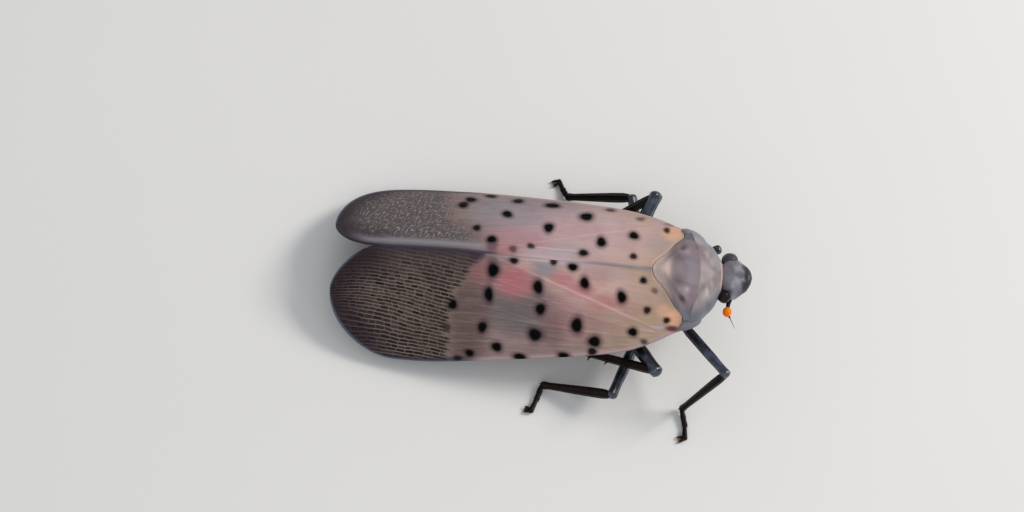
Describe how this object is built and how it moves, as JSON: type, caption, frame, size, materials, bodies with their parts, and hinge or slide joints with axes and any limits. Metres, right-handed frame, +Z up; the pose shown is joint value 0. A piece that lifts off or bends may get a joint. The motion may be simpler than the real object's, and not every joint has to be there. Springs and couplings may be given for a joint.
{
  "type": "spotted lanternfly",
  "caption": "Life-size still model of an adult spotted lanternfly at rest, spotted wings folded like a roof over the body, standing on its legs.",
  "frame": {"origin": "middle of the bounding box's bottom face, on the floor plane under the feet", "axes": "+X towards the head along the body, +Y to the insect's left, +Z up"},
  "size_m": [0.0248, 0.0168, 0.0065],
  "materials": {
    "shield": "glossy grey-brown shell, mottled",
    "head": "dark grey-black shell",
    "beak": "black, smooth",
    "abdomen": "yellow with black bands",
    "eye": "dark, finely faceted, glossy",
    "antenna": "orange, grainy",
    "forewing": "grey-mauve leathery wing with black spots and a netted dark tip",
    "hindwing": "red with black spots, a white band and a black tip",
    "leg": "black with a blue-grey sheen",
    "foot": "black with an orange-tan pad"
  },
  "bodies": {
    "root": {"pronotum": "shield", "thorax": "shield", "head": "head", "beak": "beak", "abdomen": "abdomen", "eye_left": "eye", "antenna_left": "antenna", "forewing_left": "forewing", "hindwing_left": "hindwing", "leg_front_left_coxa": "leg", "leg_front_left_femur": "leg", "leg_front_left_tibia": "leg", "leg_front_left_tarsus": "foot", "leg_middle_left_coxa": "leg", "leg_middle_left_femur": "leg", "leg_middle_left_tibia": "leg", "leg_middle_left_tarsus": "foot", "leg_hind_left_coxa": "leg", "leg_hind_left_femur": "leg", "leg_hind_left_tibia": "leg", "leg_hind_left_tarsus": "foot", "eye_right": "eye", "antenna_right": "antenna", "forewing_right": "forewing", "hindwing_right": "hindwing", "leg_front_right_coxa": "leg", "leg_front_right_femur": "leg", "leg_front_right_tibia": "leg", "leg_front_right_tarsus": "foot", "leg_middle_right_coxa": "leg", "leg_middle_right_femur": "leg", "leg_middle_right_tibia": "leg", "leg_middle_right_tarsus": "foot", "leg_hind_right_coxa": "leg", "leg_hind_right_femur": "leg", "leg_hind_right_tibia": "leg", "leg_hind_right_tarsus": "foot"}
  },
  "joints": []
}
